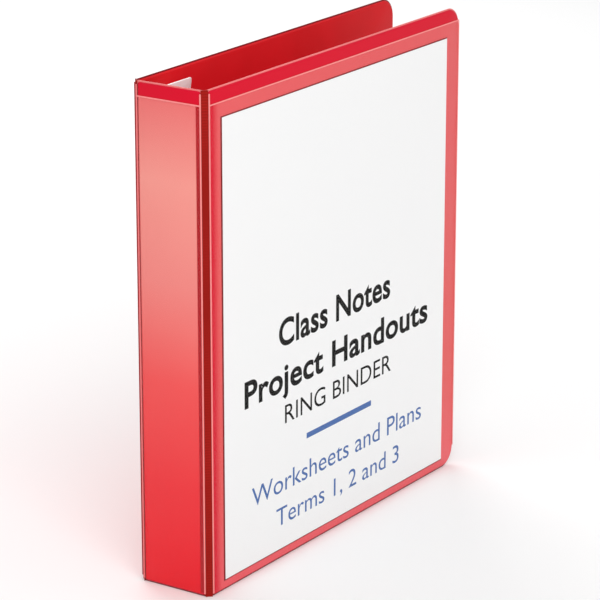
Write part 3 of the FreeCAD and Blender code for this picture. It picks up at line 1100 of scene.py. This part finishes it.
@dataclass
class PrintedSheet:
    """The sheet in the front pocket and the print on it."""

    finishes: Finishes
    body: str = "front_sheet"
    stack: Stack = field(default_factory=Stack)
    face_depth: float = 0.25
    paper: float = 0.1
    ink_height: float = 0.012
    rule_height: float = 0.015
    rule: tuple[float, float, float, float] = (-34.5, 35.4, 66.6, 70.0)
    cap_share: float = 0.73
    shadow_line_depth: float = 0.203
    shadow_line_thick: float = 0.03
    shadow_line_wide: float = 1.3
    shadow_line_gap: float = 0.05
    shadow_line_low: float = 0.5
    shadow_line_high: float = 0.7
    lines: Sequence[Line] = (
        Line("print_title", "Class Notes", -63.0, 130.5, 16.5, 119.0, 0.024, Ink.BLACK),
        Line("print_title_second", "Project Handouts", -97.6, 103.5, 16.2, 197.0, 0.024, Ink.BLACK),
        Line("print_kind", "RING BINDER", -57.0, 82.7, 11.8, 114.5, 0.0, Ink.BLACK),
        Line("print_contents", "Worksheets and Plans", -90.8, 41.5, 12.3, 184.0, 0.0, Ink.BLUE),
        Line("print_terms", "Terms 1, 2 and 3", -66.0, 21.0, 11.8, 133.5, 0.0, Ink.BLUE),
    )

    def build(self) -> None:
        """Make the sheet, its print and the rule."""
        s = self.stack
        x_low, z_low = s.sheet_low
        y_face = -s.thickness / 2 + self.face_depth
        sheet = Piece("cover_sheet")
        x_high, z_high = x_low + s.sheet_size[0], z_low + s.sheet_size[1]
        sheet.block((x_low, y_face, z_low), (x_high, y_face + self.paper, z_high))
        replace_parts(sheet.finish(self.finishes.paper, self.body, "paper"), "front_sheet")
        rule = Piece("print_rule")
        left, right, low, high = self.rule
        rule.block((left, y_face - self.rule_height, low), (right, y_face, high))
        rule.finish(self.finishes.blue_ink, self.body, "paper")
        for line in self.lines:
            self.set_line(line, y_face)
        self.shadow_line(x_low, z_low)

    def shadow_line(self, x_low: float, z_low: float) -> None:
        """Add a painted shadow line on the cover around the sheet's left, top and bottom edges.

        Args:
            x_low: The sheet's hinge-side edge.
            z_low: The sheet's lower edge.
        """
        s = self.stack
        x_high, z_high = x_low + s.sheet_size[0], z_low + s.sheet_size[1]
        x_side = x_low - self.shadow_line_gap
        z_foot, z_head = z_low - self.shadow_line_low, z_high + self.shadow_line_high
        y_out = -s.thickness / 2 + self.shadow_line_depth
        y_in = y_out + self.shadow_line_thick
        # A dark strip where there is only shade; it rides on the front cover.
        shadow_line = Piece("front_painted_shadow_line")
        shadow_line.block((x_low - self.shadow_line_wide, y_out, z_foot), (x_side, y_in, z_head))
        shadow_line.block((x_side, y_out, z_high), (x_high, y_in, z_head))
        shadow_line.block((x_side, y_out, z_foot), (x_high, y_in, z_low))
        shadow_line.finish(self.finishes.shadow_line, "front_cover", "clear_film")

    def set_line(self, line: Line, y_face: float) -> None:
        """Set one line of letters on the sheet.

        Args:
            line: What to print and where.
            y_face: Y of the sheet's face.
        """
        curve = bpy.data.curves.new(line.name, "FONT")
        curve.body = line.words
        curve.size = 1.0
        curve.resolution_u = 6
        curve.fill_mode = "FRONT"
        curve.offset = line.weight
        curve.space_character = 1.0 + line.weight * 1.5
        text = bpy.data.objects.new(line.name + "_setting", curve)
        bpy.context.scene.collection.objects.link(text)
        bpy.context.view_layer.update()
        shape = bpy.data.meshes.new_from_object(
            text.evaluated_get(bpy.context.evaluated_depsgraph_get())
        )
        bpy.data.objects.remove(text)
        piece = Piece(line.name)
        piece.mesh.from_mesh(shape)
        bpy.data.meshes.remove(shape)
        verts = piece.mesh.verts[:]
        left = min(v.co.x for v in verts)
        right = max(v.co.x for v in verts)
        wide = line.width_mm * MM / (right - left)
        tall = line.cap_mm * MM / self.cap_share
        for vert in verts:
            vert.co = Vector(
                (
                    line.x_mm * MM + (vert.co.x - left) * wide,
                    (y_face - self.ink_height) * MM,
                    line.z_mm * MM + vert.co.y * tall,
                )
            )
        bmesh.ops.remove_doubles(piece.mesh, verts=piece.mesh.verts[:], dist=1e-6)
        piece.finish(getattr(self.finishes, line.ink.value), self.body, "paper")


@dataclass(frozen=True)
class Bar:
    """A flat bar of a trigger: ends run outwards from the pin, and lift raises the outer end."""

    name: str
    half_width: float
    ends: tuple[float, float]
    heights: tuple[float, float]
    lift: float = 0.0
    corner: float = 0.0


@dataclass
class RingMechanism:
    """Rings, housing and triggers; offsets run sideways and heights from the back cover inwards."""

    finishes: Finishes
    centre_x: float = -104.3873
    face_y: float = 22.25
    pitch: float = 107.95
    mid_z: float = 147.5
    wire_radius: float = 1.6
    foot_offset: float = 7.5
    foot_height: float = 2.72
    top_height: float = 38.9
    post_bend: float = 5.0
    arc_radius: float = 14.7
    arc_offset: float = -1.0
    neck_radius: float = 4.0
    tip_offset: float = 2.0
    tip_gap: float = 0.05
    facets: int = 28
    post_steps: int = 12
    neck_steps: int = 8
    arc_steps: int = 30
    pin_reach: float = 119.5
    pin_height: float = 4.0
    barrel_radius: float = 2.2
    barrel_length: float = 8.0
    trigger_bars: tuple[Bar, ...] = (
        Bar("paddle", 12.0, (7.5, 23.0), (6.2, 7.4), lift=1.8, corner=1.2),
        Bar("neck", 4.0, (0.0, 7.6), (5.0, 6.2), lift=1.2),
        Bar("tongue", 2.5, (-12.0, -1.0), (0.5, 1.3)),
        Bar("web", 2.5, (-2.2, -1.2), (0.6, 4.4)),
    )
    wire_round: float = 0.2
    trigger_round: float = 0.25

    def point(self, offset: float, height: float, z: float) -> Vector:
        """Row-frame point, in metres, from mechanism offset, height and level."""
        return Vector((self.centre_x + offset, self.face_y - height, z)) * MM

    def start_wire(self, name: str, offset: float, z: float) -> tuple[Piece, list[bmesh.types.BMFace]]:
        """Start a wire as a disc at its foot, facing along the way it grows.

        Args:
            name: Piece name.
            offset: Sideways place of the foot.
            z: Level of the ring.

        Returns:
            The piece and its end face.
        """
        piece = Piece(name)
        made = bmesh.ops.create_circle(
            piece.mesh, cap_ends=True, cap_tris=False, segments=self.facets, radius=self.wire_radius * MM
        )
        bmesh.ops.rotate(
            piece.mesh, cent=(0, 0, 0), matrix=Matrix.Rotation(math.pi / 2, 3, "X"), verts=made["verts"]
        )
        bmesh.ops.translate(piece.mesh, vec=self.point(offset, self.foot_height, z), verts=made["verts"])
        return piece, piece.mesh.faces[:]

    def grow(
        self, piece: Piece, end: list[bmesh.types.BMFace]
    ) -> tuple[list[bmesh.types.BMVert], list[bmesh.types.BMFace]]:
        """Extrude a wire's end face and drop the old one.

        Args:
            piece: The wire.
            end: Its end face.

        Returns:
            The new end's vertices and face, still in the old place.
        """
        grown = bmesh.ops.extrude_face_region(piece.mesh, geom=end)["geom"]
        bmesh.ops.delete(piece.mesh, geom=end, context="FACES_ONLY")
        verts = [g for g in grown if isinstance(g, bmesh.types.BMVert)]
        return verts, [g for g in grown if isinstance(g, bmesh.types.BMFace)]

    def go_straight(
        self, piece: Piece, end: list[bmesh.types.BMFace], step: Vector
    ) -> list[bmesh.types.BMFace]:
        """Run a wire straight on.

        Args:
            piece: The wire.
            end: Its end face.
            step: The run.

        Returns:
            The new end face.
        """
        verts, end = self.grow(piece, end)
        bmesh.ops.translate(piece.mesh, vec=step, verts=verts)
        return end

    def go_round(
        self, piece: Piece, end: list[bmesh.types.BMFace], centre: Vector, angle: float, steps: int
    ) -> list[bmesh.types.BMFace]:
        """Bend a wire about a centre.

        Args:
            piece: The wire.
            end: Its end face.
            centre: Centre of the bend.
            angle: Turn in radians about +Z.
            steps: Number of steps.

        Returns:
            The new end face.
        """
        turn = Matrix.Rotation(angle / steps, 3, "Z")
        for _ in range(steps):
            verts, end = self.grow(piece, end)
            bmesh.ops.rotate(piece.mesh, cent=centre, matrix=turn, verts=verts)
        return end

    def close_wire(self, piece: Piece, body: str, node: str) -> None:
        """Finish a wire: outward faces, softened ends and bright plate.

        Args:
            piece: The wire.
            body: The body that carries it.
            node: The node that it replaces.
        """
        bmesh.ops.holes_fill(piece.mesh, edges=[e for e in piece.mesh.edges if e.is_boundary])
        bmesh.ops.recalc_face_normals(piece.mesh, faces=piece.mesh.faces[:])
        piece.soften(self.wire_round, angle=60.0)
        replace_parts(piece.finish(self.finishes.nickel, body, "ring_chrome", 50.0), node)

    def post_half(self, name: str, z: float) -> None:
        """Make a ring's straight post half.

        Args:
            name: lower, middle or upper.
            z: Level of the ring.
        """
        piece, end = self.start_wire(f"ring_post_{name}", self.foot_offset, z)
        rise = self.top_height - self.post_bend - self.foot_height
        end = self.go_straight(piece, end, Vector((0.0, -rise, 0.0)) * MM)
        centre = self.point(self.foot_offset - self.post_bend, self.top_height - self.post_bend, z)
        end = self.go_round(piece, end, centre, -math.pi / 2, self.post_steps)
        run = self.foot_offset - self.post_bend - self.tip_offset - self.tip_gap
        self.go_straight(piece, end, Vector((-run, 0.0, 0.0)) * MM)
        self.close_wire(piece, "post_side", f"post_ring_{name}")

    def curved_half(self, name: str, z: float) -> None:
        """Make a ring's curved half: neck, bulge and tip.

        Args:
            name: lower, middle or upper.
            z: Level of the ring.
        """
        arc_height = self.top_height - self.arc_radius
        neck_u = -self.foot_offset - self.neck_radius
        reach = self.arc_radius + self.neck_radius
        neck_h = arc_height - math.sqrt(reach**2 - (neck_u - self.arc_offset) ** 2)
        turn = math.atan2(arc_height - neck_h, self.arc_offset - neck_u)
        piece, end = self.start_wire(f"ring_curve_{name}", -self.foot_offset, z)
        end = self.go_straight(piece, end, Vector((0.0, -(neck_h - self.foot_height), 0.0)) * MM)
        end = self.go_round(piece, end, self.point(neck_u, neck_h, z), -turn, self.neck_steps)
        centre = self.point(self.arc_offset, arc_height, z)
        end = self.go_round(piece, end, centre, math.pi / 2 + turn, self.arc_steps)
        run = self.tip_offset - self.arc_offset - self.tip_gap
        self.go_straight(piece, end, Vector((run, 0.0, 0.0)) * MM)
        self.close_wire(piece, "curved_side", f"curved_ring_{name}")

    def trigger(self, name: str, sign: int) -> None:
        """Make one trigger's finger paddle, neck and tongue.

        Args:
            name: upper or lower.
            sign: 1 for the upper end and -1 for the lower.
        """
        pin_z = self.mid_z + sign * self.pin_reach
        piece = Piece(f"trigger_lever_{name}")
        for bar in self.trigger_bars:
            self.add_bar(piece, bar, pin_z, sign)
        barrel = bmesh.ops.create_cone(
            piece.mesh, cap_ends=True, segments=32, radius1=self.barrel_radius * MM,
            radius2=self.barrel_radius * MM, depth=self.barrel_length * MM,
        )["verts"]
        bmesh.ops.rotate(
            piece.mesh, cent=(0, 0, 0), matrix=Matrix.Rotation(math.pi / 2, 3, "Y"), verts=barrel
        )
        bmesh.ops.translate(piece.mesh, vec=self.point(0.0, self.pin_height, pin_z), verts=barrel)
        bmesh.ops.recalc_face_normals(piece.mesh, faces=piece.mesh.faces[:])
        piece.soften(self.trigger_round, 3, angle=50.0)
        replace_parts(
            piece.finish(self.finishes.lever, f"trigger_{name}", "white_coat", 40.0), f"trigger_{name}"
        )

    def add_bar(self, piece: Piece, bar: Bar, pin_z: float, sign: int) -> None:
        """Add a flat bar to a trigger.

        Args:
            piece: The trigger.
            bar: The bar.
            pin_z: Level of the pin.
            sign: 1 for the upper trigger and -1 for the lower.
        """
        part = bmesh.new()
        for vert in bmesh.ops.create_cube(part, size=1.0)["verts"]:
            outer = vert.co.z > 0
            height = bar.heights[1] if vert.co.y < 0 else bar.heights[0]
            vert.co = Vector(
                (
                    math.copysign(bar.half_width, vert.co.x),
                    -(height + (bar.lift if outer else 0.0)),
                    bar.ends[1] if outer else bar.ends[0],
                )
            )
        if bar.corner:
            picked = [
                e
                for e in part.edges
                if all(abs(v.co.z - bar.ends[1]) < 1e-6 for v in e.verts)
                and abs(e.verts[0].co.x - e.verts[1].co.x) < 1e-6
            ]
            bmesh.ops.bevel(
                part, geom=picked, offset=bar.corner, segments=8, profile=0.5, affect="EDGES", material=-1
            )
        bmesh.ops.scale(part, vec=(MM, MM, sign * MM), verts=part.verts[:])
        bmesh.ops.translate(part, vec=self.point(0.0, 0.0, pin_z), verts=part.verts[:])
        bmesh.ops.recalc_face_normals(part, faces=part.faces[:])
        data = bpy.data.meshes.new(bar.name)
        part.to_mesh(data)
        part.free()
        piece.mesh.from_mesh(data)
        bpy.data.meshes.remove(data)

    def build(self) -> None:
        """Make the rings and triggers and dress the pressings."""
        for name, z in (
            ("lower", self.mid_z - self.pitch),
            ("middle", self.mid_z),
            ("upper", self.mid_z + self.pitch),
        ):
            self.post_half(name, z)
            self.curved_half(name, z)
        self.trigger("upper", 1)
        self.trigger("lower", -1)
        for node in ("ring_housing", "post_plate", "curved_plate"):
            dress_node(node, self.finishes.pressed)
        for node in ("rivet_lower", "rivet_upper", "trigger_pin_upper", "trigger_pin_lower"):
            dress_node(node, self.finishes.nickel)


@dataclass(frozen=True)
class Softbox:
    """A square soft light: where it hangs and its side, in metres, and its power in watts."""

    name: str
    place: Corner
    side: float
    watts: float


@dataclass
class Studio:
    """Pale floor, soft light and the camera."""

    lens_mm: float = 182.6
    azimuth: float = -56.11
    elevation: float = 17.57
    distance: float = 1.7974
    sensor_mm: float = 36.0
    clip: tuple[float, float] = (0.05, 50.0)
    target: Corner = (-0.00423, 0.0, 0.13935)
    floor_half: float = 6.0
    room_glow: float = 0.66
    softboxes: tuple[Softbox, ...] = (
        Softbox("key_softbox", (-1.15, -1.15, 1.5), 1.3, 18.2),
        Softbox("rear_softbox", (0.9, 1.2, 1.3), 1.2, 12.0),
    )

    def build(self) -> None:
        """Make the whole setting."""
        self.floor()
        self.sky()
        for box in self.softboxes:
            self.hang(box)
        self.camera()

    def floor(self) -> None:
        """Lay the pale floor."""
        mesh = bmesh.new()
        bmesh.ops.create_grid(mesh, x_segments=1, y_segments=1, size=self.floor_half)
        data = bpy.data.meshes.new("studio_floor")
        mesh.to_mesh(data)
        mesh.free()
        floor = bpy.data.objects.new("studio_floor", data)
        bpy.context.scene.collection.objects.link(floor)
        paint(floor, StudioPaper("pale_seamless_paper", "FBFBFB").build())

    def sky(self) -> None:
        """Light the room evenly and keep colours as they are."""
        world = bpy.data.worlds.new("studio_room")
        world.use_nodes = True
        tree = world.node_tree
        tree.nodes.clear()
        glow = add_node(
            tree, "ShaderNodeBackground",
            {"Color": (1.0, 1.0, 1.0, 1.0), "Strength": self.room_glow},
        )
        add_node(tree, "ShaderNodeOutputWorld", {"Surface": glow.outputs["Background"]})
        bpy.context.scene.world = world
        bpy.context.scene.view_settings.view_transform = "Standard"

    def hang(self, box: Softbox) -> None:
        """Hang a soft light that faces the object.

        Args:
            box: The light.
        """
        data = bpy.data.lights.new(box.name, "AREA")
        data.shape = "SQUARE"
        data.size = box.side
        data.energy = box.watts
        lamp = bpy.data.objects.new(box.name, data)
        lamp.location = box.place
        aim = Vector(self.target) - Vector(box.place)
        lamp.rotation_euler = aim.to_track_quat("-Z", "Y").to_euler()
        lamp.visible_camera = False
        bpy.context.scene.collection.objects.link(lamp)

    def camera(self) -> None:
        """Stand the camera at the viewing angle."""
        turn, tilt = math.radians(self.azimuth), math.radians(self.elevation)
        back = Vector(
            (math.sin(turn) * math.cos(tilt), -math.cos(turn) * math.cos(tilt), math.sin(tilt))
        )
        data = bpy.data.cameras.new("camera")
        data.lens = self.lens_mm
        data.sensor_width = self.sensor_mm
        data.clip_start, data.clip_end = self.clip
        eye = bpy.data.objects.new("camera", data)
        eye.location = Vector(self.target) + back * self.distance
        eye.rotation_euler = (-back).to_track_quat("-Z", "Y").to_euler()
        bpy.context.scene.collection.objects.link(eye)
        bpy.context.scene.camera = eye


def main() -> None:
    """Build the binder in order."""
    logging.basicConfig(level=logging.INFO, format="%(name)s: %(message)s")
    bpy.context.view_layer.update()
    Studio().build()
    finishes = Finishes()
    Cover("back", "back_cover", finishes, side=Side.BACK).build()
    Spine("spine", "spine", finishes).build()
    Cover("front", "front_cover", finishes, side=Side.FRONT).build()
    HingeStrip(Side.BACK, "back_cover", finishes).build()
    HingeStrip(Side.FRONT, "front_cover", finishes).build()
    PrintedSheet(finishes).build()
    RingMechanism(finishes).build()
    for node in ("back_tall_pocket", "back_short_pocket", "front_tall_pocket", "front_short_pocket"):
        dress_node(node, finishes.pocket)


if __name__ == "__main__":
    main()
